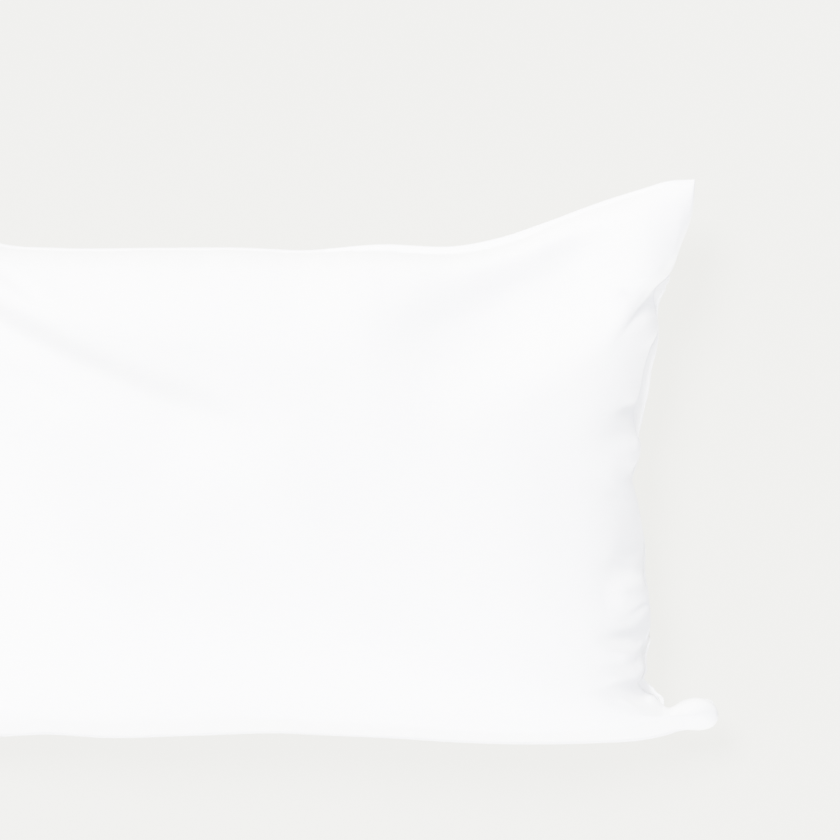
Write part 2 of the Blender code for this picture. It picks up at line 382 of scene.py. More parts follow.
@dataclass(frozen=True)
class SeamOutline:
    """The line round the case where its panels meet, drawn in between the ears."""

    top: SmoothLine = SmoothLine.through(
        (-376, 240, 64), (-352, 238, 65), (-318, 221, 64), (-285, 203, 62), (-255, 193, 61),
        (-202, 189, 61), (-123, 189, 62), (-35, 189, 62), (9, 187, 62), (79, 192, 63),
        (150, 191, 63), (185, 198, 64), (224, 211, 66), (273, 229, 68), (308, 240, 72),
        (333, 247, 76), (355, 248, 78),
    )
    bottom: SmoothLine = SmoothLine.through(
        (-366, -226, 52), (-345, -234, 52), (-305, -240, 53), (-255, -241, 54), (-216, -239, 56),
        (-167, -242, 55), (-79, -240, 56), (-9, -238, 58), (35, -240, 58), (97, -243, 57),
        (141, -246, 56), (202, -248, 56), (273, -247, 54), (308, -245, 52), (330, -241, 50),
        (348, -236, 49), (364, -236, 48), (373, -233, 48), (377, -228, 48), (378, -222, 48),
    )
    left: SmoothLine = SmoothLine.through(
        (-366, -226, 52), (-352, -208, 53), (-341, -180, 55), (-332, -130, 57), (-327, -50, 58),
        (-327, 15, 59), (-332, 80, 60), (-342, 134, 61), (-361, 178, 62), (-372, 208, 63),
        (-376, 240, 64),
    )
    open_end: SmoothLine = SmoothLine.through(
        (378, -222, 48), (376, -216, 48), (370, -210, 48), (358, -207, 49), (346, -210, 50),
        (334, -216, 51), (321, -206, 52), (309, -199, 52), (305, -190, 53), (311, -178, 54),
        (308, -165, 55), (316, -151, 56), (317, -125, 57), (311, -98, 57), (311, -66, 57),
        (306, -33, 57), (301, -10, 58), (309, 12, 58), (303, 33, 58), (302, 44, 59), (307, 60, 59),
        (312, 86, 61), (316, 99, 62), (323, 115, 62), (323, 127, 63), (320, 140, 64),
        (320, 151, 65), (333, 165, 67), (343, 190, 70), (352, 216, 74), (355, 248, 78),
    )
    wave_share: float = 0.12
    wave_steps: int = 3
    wave_reach: float = 0.11
    corner_share: float = 0.1
    samples: int = 400

    def gentle_end(self, v: Points) -> Points:
        """The open end's line without its short waves, which stay in its corners.

        Args:
            v: how far along the line each point lies.

        Returns:
            The points, in millimetres.
        """
        step = self.wave_share / self.wave_steps * eased(np.minimum(v, 1 - v) / self.corner_share)
        around = range(-self.wave_steps, self.wave_steps + 1)
        return np.mean([self.open_end.at(np.clip(v + k * step, 0, 1)) for k in around], axis=0)

    def patch(self, u: Points, v: Points) -> Points:
        """Finds the surface that the sides span. The open end's short waves die out close to it.

        Args:
            u: from 0 at the closed end to 1 at the open end.
            v: from 0 at the bottom side to 1 at the top side.

        Returns:
            Points in metres.
        """
        bottom, top = self.bottom.at(u), self.top.at(u)
        left, right = self.left.at(v), self.gentle_end(v)
        a, b = u[..., None], v[..., None]
        sides = (1 - b) * bottom + b * top + (1 - a) * left + a * right
        low, high = (
            (1 - a) * np.array(side.rows[0]) + a * np.array(side.rows[-1])
            for side in (self.bottom, self.top)
        )
        near_end = eased((a - 1) / self.wave_reach + 1)
        waves = near_end * (self.open_end.at(v) - right)
        return (sides - (1 - b) * low - b * high + waves) * MM

    def middle(self) -> Points:
        """Finds the middle of the outline's box in plan.

        Returns:
            x and y in metres.
        """
        share = np.linspace(0, 1, self.samples)
        rims = (self.top, self.bottom, self.left, self.open_end)
        xy = np.concatenate([rim.at(share)[:, :2] for rim in rims])
        return (xy.min(axis=0) + xy.max(axis=0)) / 2 * MM


# ---- the cut cloth ----


@dataclass(frozen=True)
class Cut:
    """A panel as it was cut, and the grid that its surface is worked out on."""

    length: float = 0.75
    width: float = 0.50
    cells: tuple[int, int] = (344, 232)
    crowding: Span = (0.45, 0.3)

    def lines(self) -> list[Points]:
        """The places of the grid's lines along u and v, gathered a little towards the edges."""
        evens = [(np.linspace(-1, 1, cells + 1), c) for cells, c in zip(self.cells, self.crowding)]
        return [((1 - c) * even + c * np.sin(even * np.pi / 2) + 1) / 2 for even, c in evens]

    def grid(self) -> tuple[Points, ...]:
        """u and v at every point of the grid."""
        return tuple(np.meshgrid(*self.lines(), indexing="ij"))


def normals_of(points: Points) -> Points:
    """Unit normals of a grid of points, with u along its first axis, upwards where it is flat."""
    normals = np.cross(np.gradient(points, axis=0), np.gradient(points, axis=1))
    return normals / np.maximum(np.linalg.norm(normals, axis=2, keepdims=True), TINY)


def quads(cells_u: int, cells_v: int) -> list[tuple[int, ...]]:
    """The faces between a grid's points, which are numbered along v first. They face up."""
    starts = (i * (cells_v + 1) + j for i in range(cells_u) for j in range(cells_v))
    return [(k, k + cells_v + 1, k + cells_v + 2, k + 1) for k in starts]


def rim_of(cells_u: int, cells_v: int) -> list[int]:
    """Goes once round the edge of a grid, anticlockwise from above.

    Args:
        cells_u: cells along u.
        cells_v: cells along v.

    Returns:
        The points' numbers, each once.
    """
    rim = [(i, 0) for i in range(cells_u)] + [(cells_u, j) for j in range(cells_v)]
    rim += [(i, cells_v) for i in range(cells_u, 0, -1)] + [(0, j) for j in range(cells_v, 0, -1)]
    return [i * (cells_v + 1) + j for i, j in rim]


def shell(name: str, over: Points, under: Points, cut: Cut) -> bpy.types.Object:
    """Makes one closed piece from its upper and lower faces.

    Args:
        name: the piece's name.
        over: the upper face's grid of points.
        under: the lower face's grid, each cell a whole number of the upper face's.
        cut: the panel's cut, for its UV map.

    Returns:
        The piece, smooth, with its faces outwards.
    """
    cells_u, cells_v = over.shape[0] - 1, over.shape[1] - 1
    step = cells_u // (under.shape[0] - 1)
    start = over.shape[0] * over.shape[1]
    faces = quads(cells_u, cells_v)
    for a, b, c, d in quads(cells_u // step, cells_v // step):
        faces.append((start + a, start + d, start + c, start + b))
    high = rim_of(cells_u, cells_v)
    low = [start + k for k in rim_of(cells_u // step, cells_v // step)]
    half = step // 2
    for m, near in enumerate(low):
        far = low[(m + 1) % len(low)]
        spots = [high[(m * step + k) % len(high)] for k in range(step + 1)]
        faces += [(spots[k], near if k < half else far, spots[k + 1]) for k in range(step)]
        faces.append((spots[half], near, far))
    mesh = bpy.data.meshes.new(name)
    mesh.from_pydata(np.concatenate([over.reshape(-1, 3), under.reshape(-1, 3)]), [], faces)
    u, v = cut.grid()
    place = np.stack([u * cut.length, v * cut.width], axis=-1)
    flat = np.concatenate([place.reshape(-1, 2), place[::step, ::step].reshape(-1, 2)])
    corners = np.empty(len(mesh.loops), np.int32)
    mesh.loops.foreach_get("vertex_index", corners)
    mesh.uv_layers.new(name="cut").data.foreach_set("uv", flat[corners].astype(np.float32).ravel())
    mesh.shade_smooth()
    mesh.validate()
    return put_in_scene(name, mesh)


# ---- folds ----


class Crease(NamedTuple):
    """A trough or ridge in a panel, in millimetres.

    It follows a curve in plan through three points and reaches to the left and to the right of
    its direction. Its rise is negative for a trough. Crisp runs from 2, soft, down to 1, sharp.
    It grows over the first share of its length, or runs in from the edge at its full depth with
    0, and fades over the last share. Spread is its reach at the end, as a share of that at the
    start.
    """

    x0: float
    y0: float
    xm: float
    ym: float
    x1: float
    y1: float
    left: float
    right: float
    rise: float
    crisp: float = 2.0
    grow: float = 0.4
    fade: float = 0.5
    spread: float = 1.0

    def line(self, pieces: int) -> list[Points]:
        """Cuts the curve into straight pieces.

        Args:
            pieces: how many.

        Returns:
            x and y at the ends of the pieces.
        """
        t = np.linspace(0, 1, pieces + 1)
        through = ((self.x0, self.xm, self.x1), (self.y0, self.ym, self.y1))
        return [
            (1 - t) ** 2 * a + 2 * t * (1 - t) * (2 * middle - (a + b) / 2) + t**2 * b
            for a, middle, b in through
        ]

    def lift(self, along: Points, gap: Points, turned: Points) -> Points:
        """Works out how far the crease lifts points.

        Args:
            along: how far along the curve each lies, as a share of it.
            gap: how far from the curve.
            turned: above 0 where it lies to the left.

        Returns:
            The lifts.
        """
        wider = 1 + (self.spread - 1) * np.clip(along, 0, 1)
        reach = np.where(turned > 0, self.left, self.right) * wider
        strength = eased((1 - along) / self.fade)
        if self.grow > 0:
            strength = strength * eased(along / self.grow)
        return self.rise * strength * np.exp(-((gap / reach) ** self.crisp))


@dataclass(frozen=True)
class CreaseSet:
    """Creases that are laid into a surface together. Tail is how many reaches away each ends."""

    rows: tuple[Crease, ...]
    pieces: int = 24
    tail: float = 3.0

    @classmethod
    def of(cls, *rows: tuple[float, ...]) -> "CreaseSet":
        """Makes the set from rows with a crease's numbers."""
        return cls(table(Crease, *rows))

    def nearest(
        self, x: Points, y: Points, line_x: Points, line_y: Points
    ) -> tuple[Points, Points, Points]:
        """Finds the nearest place on a crease's curve, which runs straight on past its ends.

        Args:
            x: the points' x, in millimetres.
            y: their y.
            line_x: x at the ends of the curve's pieces.
            line_y: y there.

        Returns:
            How far along the curve that is, how far away, and what is above 0 on its left.
        """
        best = np.full(x.shape, np.inf)
        along, turned = np.zeros(x.shape), np.zeros(x.shape)
        for k in range(self.pieces):
            dx, dy = line_x[k + 1] - line_x[k], line_y[k + 1] - line_y[k]
            share = ((x - line_x[k]) * dx + (y - line_y[k]) * dy) / (dx * dx + dy * dy)
            low, high = 0 if k else -np.inf, 1 if k < self.pieces - 1 else np.inf
            share = np.clip(share, low, high)
            off_x, off_y = x - line_x[k] - share * dx, y - line_y[k] - share * dy
            gap = np.hypot(off_x, off_y)
            closer = gap < best
            best = np.where(closer, gap, best)
            along = np.where(closer, (k + share) / self.pieces, along)
            turned = np.where(closer, dx * off_y - dy * off_x, turned)
        return along, best, turned

    def rise(self, points: Points) -> Points:
        """Works out how far the creases lift a surface.

        Args:
            points: the surface's points, in metres.

        Returns:
            The lifts, in metres.
        """
        x, y = points[..., 0] / MM, points[..., 1] / MM
        total = np.zeros_like(x)
        for row in self.rows:
            reach = self.tail * max(row.left, row.right) * max(row.spread, 1.0)
            line_x, line_y = row.line(self.pieces)
            near = (x > line_x.min() - reach) & (x < line_x.max() + reach)
            near &= (y > line_y.min() - reach) & (y < line_y.max() + reach)
            total[near] += row.lift(*self.nearest(x[near], y[near], line_x, line_y))
        return total * MM


@dataclass(frozen=True)
class SeamGathers:
    """The small puckers that a sewn edge draws into the cloth beside it, in millimetres.

    Depth, reach and half width are ranges. Jitter says where in its stretch of the seam a pucker
    may lie. Each slants, and widens by a share over its reach.
    """

    side: Side
    count: int
    depth: Span
    reach: Span
    seed: int
    half_width: Span = (4, 9)
    jitter: Span = (0.1, 0.9)
    slant: float = 0.35
    widening: float = 0.4

    def rise(self, u: Points, v: Points, cut: Cut) -> Points:
        """Works out how far the puckers lift a panel.

        Args:
            u: shares of the length.
            v: shares of the width.
            cut: the panel's cut.

        Returns:
            The lifts, in metres.
        """
        runs, edge = self.side.value
        ways = ((u, cut.length), (v, cut.width))
        (along, run), (away, across) = ways if runs == "u" else ways[::-1]
        s, d = along * run, np.abs(away - edge) * across
        ranges = (self.depth, self.reach, self.half_width)
        depths, reaches, half_widths = (np.array(span) * MM for span in ranges)
        dice = np.random.default_rng(self.seed)
        total = np.zeros_like(u)
        places = (np.arange(self.count) + dice.uniform(*self.jitter, self.count)) / self.count
        for place in places:
            height = dice.uniform(*depths) * dice.choice((-1.0, -1.0, 1.0))  # two in three go in
            reach = dice.uniform(*reaches)
            wide = dice.uniform(*half_widths)
            slant = dice.normal(0, self.slant)
            off = (s - place * run - slant * d) / (wide * (1 + self.widening * d / reach))
            total += height * np.exp(-(off**2)) * (d / reach) * np.exp(1 - d / reach)
        return total


@dataclass(frozen=True)
class Swells:
    """Broad shallow unevenness of the filling under the cloth, as waves each way."""

    count: int = 26
    height: float = 0.55 * MM
    length: Span = (70 * MM, 210 * MM)
    gain: float = 1.4
    seed: int = 11

    def rise(self, u: Points, v: Points, cut: Cut) -> Points:
        """Works out how far the filling lifts the cloth.

        Args:
            u: shares of the length.
            v: shares of the width.
            cut: the panel's cut.

        Returns:
            The lifts, in metres.
        """
        dice = np.random.default_rng(self.seed)
        x, y = u * cut.length, v * cut.width
        total = np.zeros_like(u)
        for _ in range(self.count):
            turn, phase = dice.uniform(0, math.tau, 2)
            wave = math.tau / dice.uniform(*self.length)
            total += np.sin(wave * (x * math.cos(turn) + y * math.sin(turn)) + phase)
        middle = np.clip(16 * u * (1 - u) * v * (1 - v), 0, 1)  # 1 there, and 0 at the seam
        return self.height * total / math.sqrt(self.count) * self.gain * middle


@dataclass(frozen=True)
class PillowPush:
    """How the pillow presses a panel out, settled with Blender's Cloth.

    The seam is held, gravity is off, and the movement is capped and smoothed.
    """

    pressure: float = 4.0
    frames: int = 20
    every: int = 2
    cap: float = 4 * MM
    slack: float = 0.002
    smoothing: int = 140

    def simulate(self, points: Points) -> Points:
        """Runs the cloth on a grid of points.

        Args:
            points: the panel's face.

        Returns:
            The settled points.
        """
        cells_u, cells_v = points.shape[0] - 1, points.shape[1] - 1
        mesh = bpy.data.meshes.new("panel_in_the_cloth")
        mesh.from_pydata(points.reshape(-1, 3), [], quads(cells_u, cells_v))
        panel = put_in_scene("panel_in_the_cloth", mesh)
        held = panel.vertex_groups.new(name="seam")
        held.add(rim_of(cells_u, cells_v), 1.0, "REPLACE")
        cloth = panel.modifiers.new("Cloth", "CLOTH")
        cloth.point_cache.frame_end = self.frames
        settings = cloth.settings
        settings.vertex_group_mass = held.name
        settings.use_pressure = True
        settings.uniform_pressure_force = self.pressure
        settings.shrink_min = -self.slack
        settings.effector_weights.gravity = 0.0
        for frame_number in range(1, self.frames + 1):
            bpy.context.scene.frame_set(frame_number)
        settled = panel.evaluated_get(bpy.context.evaluated_depsgraph_get()).data
        found = np.empty(points.size, np.float32)
        settled.vertices.foreach_get("co", found)
        bpy.context.scene.frame_set(1)
        bpy.data.objects.remove(panel)
        bpy.data.meshes.remove(mesh)
        return found.reshape(points.shape).astype(float)

    def shift(self, points: Points) -> Points:
        """Works out how far each point of a fine grid moves.

        Args:
            points: the panel's face, whose cells are a whole number of the cloth's.

        Returns:
            The movements, capped.
        """
        rough = points[:: self.every, :: self.every]
        moves = self.simulate(rough) - rough
        length = np.maximum(np.linalg.norm(moves, axis=2, keepdims=True), TINY)
        moves *= self.cap * np.tanh(length / self.cap) / length
        for axis in (0, 1):
            spots = np.arange(points.shape[axis]) / self.every
            low = np.minimum(spots.astype(int), moves.shape[axis] - 2)
            turned, share = moves.swapaxes(0, axis), (spots - low)[:, None, None]
            moves = (turned[low] + (turned[low + 1] - turned[low]) * share).swapaxes(0, axis)
        for axis in (0, 1) * self.smoothing:
            turned = moves.swapaxes(0, axis)
            turned[1:-1] = turned[1:-1] / 2 + (turned[:-2] + turned[2:]) / 4
        return moves


# ---- the case ----


class Round(NamedTuple):
    """How flat a panel's arch is in each half of its length and of its width: 2 is an ellipse.

    It also says how sharply the panel meets the seam at the open end: 0.5 is square on, and 1 a
    knife edge.
    """

    left: float
    right: float
    bottom: float
    top: float
    end: float


class Ear(NamedTuple):
    """A corner, and how sharply the fill dies out towards it: under 0.5 it is a round roll."""

    at_x: int
    at_y: int
    sharpness: float


class Lip(NamedTuple):
    """How the free hem lies at a place along the open end, in millimetres: how far it stands out
    past the front's edge, how far below it, and how much lower still where that edge covers it."""

    y: float
    out: float
    down: float
    dip: float


class Fin(NamedTuple):
    """How wide the flat sewn edge is at a place along the top or bottom side, in millimetres."""

    x: float
    top: float
    bottom: float


@dataclass
class FilledForm:
    """The shape that the pillow gives to both panels."""

    outline: SeamOutline = SeamOutline()
    sheet: float = 1.5 * MM
    seam_gap: float = 0.4 * MM
    crown: float = 92 * MM
    belly: float = 1.16
    front_round: Round = Round(3.0, 5.6, 2.6, 3.6, 0.72)
    back_round: Round = Round(5.0, 5.0, 3.4, 3.4, 0.5)
    side_sharpness: float = 0.5
    corner_reach: float = 4.0
    folds_from: float = 0.14
    hem_level: float = 0.014
    hem_bend: float = 0.02
    ears: tuple[Ear, ...] = table(
        Ear, (-1, 1, 0.74), (1, 1, 0.78), (-1, -1, 0.66), (1, -1, 0.42)
    )
    samples: int = 60
    shift: Points = field(default_factory=lambda: np.zeros(3))

    def settle(self) -> None:
        """Moves the form over the frame's solid, whose footprint has its middle at the origin."""
        low, high = (np.array(corner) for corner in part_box(Node.FRONT.value))
        self.shift[:2] = (low + high)[:2] / 2 - self.outline.middle()

    def patch(self, u: Points, v: Points) -> Points:
        """The surface that the seam line spans, in its place."""
        return self.outline.patch(u, v) + self.shift

    def fill(self, u: Points, v: Points, flatness: Round) -> Points:
        """Works out how full the case is.

        Args:
            u: shares of the length.
            v: shares of the width.
            flatness: how flat its arch is.

        Returns:
            From 1 in the middle to 0 at the seam.
        """
        x, y = 2 * u - 1, 2 * v - 1
        at_end = np.clip(x, 0, 1) ** self.corner_reach * (1 - np.abs(y) ** self.corner_reach)
        sharpness = self.side_sharpness + (flatness.end - self.side_sharpness) * at_end
        for ear in self.ears:
            near = np.clip(ear.at_x * x, 0, 1) * np.clip(ear.at_y * y, 0, 1)
            sharpness = sharpness + (ear.sharpness - self.side_sharpness) * near**self.corner_reach
        along = np.abs(x) ** np.where(x < 0, flatness.left, flatness.right)
        across = np.abs(y) ** np.where(y < 0, flatness.bottom, flatness.top)
        arch = (1 - along) * (1 - across)
        return np.clip(arch, 0, 1) ** sharpness

    def inset(self) -> Points:
        """The shares of length and width by which the filling's underside lies further in."""
        u, v = np.meshgrid(*[np.linspace(0, 1, self.samples)] * 2, indexing="ij")
        return (self.sheet + self.seam_gap) / np.ptp(self.patch(u, v)[..., :2], axis=(0, 1))

    def underside(self, u: Points, v: Points) -> Points:
        """Finds the face under the pillow, flat where it bears and level along the open hem.

        Args:
            u: shares of the length.
            v: shares of the width.

        Returns:
            The points.
        """
        inset_u, inset_v = self.inset()
        points = self.patch(inset_u + (1 - 2 * inset_u) * u, inset_v + (1 - 2 * inset_v) * v)
        inside = 1 - self.hem_level
        full = self.fill(np.clip(u / inside, 0, 1), v, self.back_round)
        full *= eased((inside - u) / self.hem_bend)
        drop = self.belly * points[..., 2] * full
        points[..., 2] = np.maximum(points[..., 2] - drop, self.sheet + self.seam_gap)
        return points


@dataclass
class FrontPanel:
    """The front panel with the pillow behind it, one padded piece."""

    form: FilledForm
    cut: Cut = Cut()
    finish: CottonPercale = CottonPercale("cotton_percale_front")
    coarse: int = 4
    fold_room: float = 1.05
    end_fold: float = 4 * MM
    end_fade: float = 0.04
    lining_depth: float = 2.2 * MM
    lining_least: float = 0.1
    lining_edge: float = 20 * MM
    fins: tuple[Fin, ...] = table(
        Fin, (-380, 3, 3), (20, 2.5, 2), (80, 6, 2), (190, 7, 3), (240, 3, 3), (380, 3, 1)
    )
    main_folds: CreaseSet = CreaseSet.of(
        # long trough from the upper ear at the open end, and the ridge beside it
        (308, 212, 184, 132, 60, 98, 50, 34, -46, 2, 0.28, 0.58),
        (345, 225, 290, 105, 205, 15, 34, 34, 6),
        # long trough from the upper ear at the closed end, its ridge, and short ones
        (-320, 164, -160, 74, 10, 18, 13, 26, -19, 1.8, 0.18, 0.33, 2.8),
        (-310, 180, -185, 120, -60, 96, 22, 22, 5),
        (-262, 92, -215, 66, -170, 38, 9, 11, -4),
        (-275, 182, -228, 152, -196, 126, 7, 7, -3),
        # soft swell towards the lower ear at the closed end
        (-250, -150, -185, -105, -120, -60, 40, 40, 4),
        # slack slope at the open end, and the pucker under it
        (318, -14, 320, -60, 316, -108, 12, 30, -16, 2, 0.4, 0.3),
        (320, -156, 296, -153, 256, -145, 8, 18, -26, 1.6, 0, 0.9),
        (318, -170, 296, -170, 262, -166, 11, 11, 3, 2, 0, 0.8),
    )
    small_folds: CreaseSet = CreaseSet.of(
        # crease under the upper ear, and the puckers where it ends
        (340, 177, 311, 142, 276, 92, 26, 3, -10, 1.3, 0, 0.5, 1.6),
        (343, 183, 310, 147, 276, 100, 3, 26, 8, 1.7, 0, 0.7, 1.6),
        (327, 133, 320, 132, 311, 138, 3, 3, -3, 1.5, 0, 0.7),
        (327, 122, 319, 123, 310, 121, 3, 3, -3, 1.5, 0, 0.7),
        # the hollow where the edge is drawn in, and the puffs under it
        (309, 37, 300, 44, 284, 55, 7, 6, -13, 1.4, 0, 0.8, 1.8),
        (306, 23, 286, 25, 262, 22, 9, 8, -2, 2, 0.1, 0.7, 1.3),
        (307, 5, 300, 8, 290, 12, 5, 5, -2, 1.8, 0.1, 0.8, 1.5),
        (302, -9, 290, -5, 276, 0, 7, 6, -3.5, 1.6, 0, 0.8, 1.6),
        # the crease under the slack slope, and the round bump below with its own
        (312, -96, 286, -91, 264, -76, 14, 6, -5, 1.5, 0.1, 0.7),
        (318, -104, 296, -109, 272, -114, 13, 11, 7.5, 2, 0.3, 0.5),
        (315, -122, 300, -129, 280, -137, 6, 4, -7, 1.4, 0.1, 0.8),
        # the pucker's sharp bottom, and the folds that fork from it
        (318, -151, 302, -151, 282, -149, 3, 6, -2.5, 1.2, 0, 0.7),
        (306, -153, 308, -163, 312, -174, 4, 4, -2.5, 1.4, 0.1, 0.4),
        (310, -189, 303, -177, 294, -165, 4, 5, -2.5, 1.5, 0, 0.7),
        # pleats beside the rolled corner
        (316, -206, 304, -203, 288, -196, 3.5, 3.5, -5, 1.4, 0.1, 0.8),
        (331, -216, 318, -212, 300, -205, 3.5, 4, -5.5, 1.4, 0.1, 0.8),
    )
    gathers: tuple[SeamGathers, ...] = table(
        SeamGathers,
        (Side.TOP, 46, (0.1, 0.7), (5, 16), 3),
        (Side.BOTTOM, 46, (0.1, 0.7), (5, 16), 4),
        (Side.LEFT, 30, (0.4, 1.6), (8, 26), 5),
        (Side.OPEN, 26, (0.3, 1.3), (6, 20), 6),
    )
    swells: Swells = Swells()
    push: PillowPush = PillowPush()

    def fin_margins(self, points: Points) -> list[Points]:
        """The shares of the width that the flat sewn edge takes at the top and bottom sides."""
        x, rows = points[..., 0] / MM, np.array(self.fins)
        return [np.interp(x, rows[:, 0], rows[:, k]) * MM / self.cut.width for k in (1, 2)]

    def face(self, u: Points, v: Points) -> Points:
        """Finds the panel's outer face as the pillow presses it out, with its folds.

        Args:
            u: shares of the length.
            v: shares of the width.

        Returns:
            The points.
        """
        points = self.form.patch(u, v)
        top, bottom = self.fin_margins(points)
        inner_v = np.clip((v - bottom) / (1 - bottom - top), 0, 1)
        full = self.form.fill(u, inner_v, self.form.front_round)
        points[..., 2] += self.form.sheet + self.form.crown * full + self.folded_end(u, v)
        points += self.push.shift(points)
        place = points - self.form.shift
        rise = self.main_folds.rise(place) + self.small_folds.rise(place)
        up = np.maximum(rise, 0) * eased(full / self.form.folds_from)
        room = self.fold_room * self.form.crown * full + TINY
        points[..., 2] += up + room * np.tanh(np.minimum(rise, 0) / room)
        return points

    def folded_end(self, u: Points, v: Points) -> Points:
        """How far the round fold at the open end stands up over its edge."""
        out = 1 - np.clip((1 - u) * self.cut.length / self.end_fold, 0, 1)
        return self.end_fold * np.sqrt(1 - out**2) * eased(np.minimum(v, 1 - v) / self.end_fade)

    def lining(self, u: Points, v: Points) -> Points:
        """Finds the face that lies on the back panel, a little clear of it but along the seam.

        Args:
            u: shares of the length.
            v: shares of the width.

        Returns:
            The points.
        """
        points = self.form.underside(u, v)
        to_end, to_side = np.minimum(u, 1 - u), np.minimum(v, 1 - v)
        edge = np.minimum(to_end * self.cut.length, to_side * self.cut.width)
        rising = (1 - self.lining_least) * eased(edge / self.lining_edge)
        clear = self.lining_depth * (self.lining_least + rising)
        return points + normals_of(points) * clear[..., None]

    def dress(self) -> bpy.types.Object:
        """Builds the panel and gives it its finish.

        Returns:
            The padded piece.
        """
        u, v = self.cut.grid()
        points = self.face(u, v)
        lift = sum(relief.rise(u, v, self.cut) for relief in (self.swells, *self.gathers))
        points += normals_of(points) * lift[..., None]
        every = (slice(None, None, self.coarse),) * 2
        lining = self.lining(u[every], v[every])
        piece = shell("front_panel", points, lining, self.cut)
        piece.data.materials.append(self.finish.make())
        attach(piece, ROOT)
        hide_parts(Node.FRONT.value)
        return piece


@dataclass(frozen=True)
class HemStitches:
    """The row of lock stitches that holds the hem, on the back panel's outer face.

    A tree of nodes lays one stitch after another along a line and makes the whole row one mesh.
    """

    finish: SewingCotton = SewingCotton("spun_sewing_cotton")
    pitch: float = 3.2 * MM
    stitch: float = 2.5 * MM
    thread: float = 0.22 * MM
    arch: float = 1.6
    sides: int = 6
    steps: int = 6

    def tree(self) -> bpy.types.NodeTree:
        """Builds the tree of nodes.

        Returns:
            The tree, with the line in and the row of stitches out.
        """
        tree = bpy.data.node_groups.new("stitches_along_a_line", "GeometryNodeTree")
        add = partial(add_node, tree)
        ports = {"Line": "Geometry", "Finish": "Material"}
        ports |= {"Pitch": "Float", "Stitch": "Float", "Thread": "Float"}
        for port, kind in ports.items():
            tree.interface.new_socket(port, in_out="INPUT", socket_type=f"NodeSocket{kind}")
        tree.interface.new_socket("Row", in_out="OUTPUT", socket_type="NodeSocketGeometry")
        given = add("NodeGroupInput")
        line = add("GeometryNodeMeshToCurve", {"Mesh": given["Line"]})
        along = {"Curve": line[0], "Length": given["Pitch"]}
        places = add("GeometryNodeCurveToPoints", along, mode="LENGTH")
        path: Inputs = {"Resolution": self.steps}
        for spot, axis, size, share in (
            ("Start", "Z", "Stitch", -0.5),
            ("Middle", "X", "Thread", self.arch),
            ("End", "Z", "Stitch", 0.5),
        ):
            reach = add("ShaderNodeMath", {0: given[size], 1: share}, operation="MULTIPLY")
            path[spot] = add("ShaderNodeCombineXYZ", {axis: reach[0]})[0]
        curve = add("GeometryNodeCurveQuadraticBezier", path)
        ring = {"Resolution": self.sides, "Radius": given["Thread"]}
        section = add("GeometryNodeCurvePrimitiveCircle", ring)
        solid = {"Curve": curve[0], "Profile Curve": section[0], "Fill Caps": True}
        thread = add("GeometryNodeCurveToMesh", solid)
        stood = {name: places[name] for name in ("Points", "Rotation")}
        row = add("GeometryNodeInstanceOnPoints", {"Instance": thread[0], **stood})
        real = add("GeometryNodeRealizeInstances", {0: row[0]})
        smooth = add("GeometryNodeSetShadeSmooth", {0: real[0]})
        dressed = add("GeometryNodeSetMaterial", {0: smooth[0], "Material": given["Finish"]})
        add("NodeGroupOutput", {0: dressed[0]})
        return tree

    def sew(self, line: Points) -> bpy.types.Object:
        """Lays the stitches.

        Args:
            line: points along the row, on the cloth.

        Returns:
            The row as one mesh.
        """
        mesh = bpy.data.meshes.new("hem_line")
        mesh.from_pydata(line, [(k, k + 1) for k in range(len(line) - 1)], [])
        guide = put_in_scene("hem_line", mesh)
        modifier = guide.modifiers.new("stitches", "NODES")
        modifier.node_group = self.tree()
        values = {"Pitch": self.pitch, "Stitch": self.stitch, "Thread": self.thread}
        values["Finish"] = self.finish.make()
        for item in modifier.node_group.interface.items_tree:
            if item.name in values:
                modifier[item.identifier] = values[item.name]
        seen = guide.evaluated_get(bpy.context.evaluated_depsgraph_get())
        row = bpy.data.meshes.new_from_object(seen)
        guide.modifiers.remove(modifier)
        bpy.data.objects.remove(guide)
        return put_in_scene("hem_stitches", row)


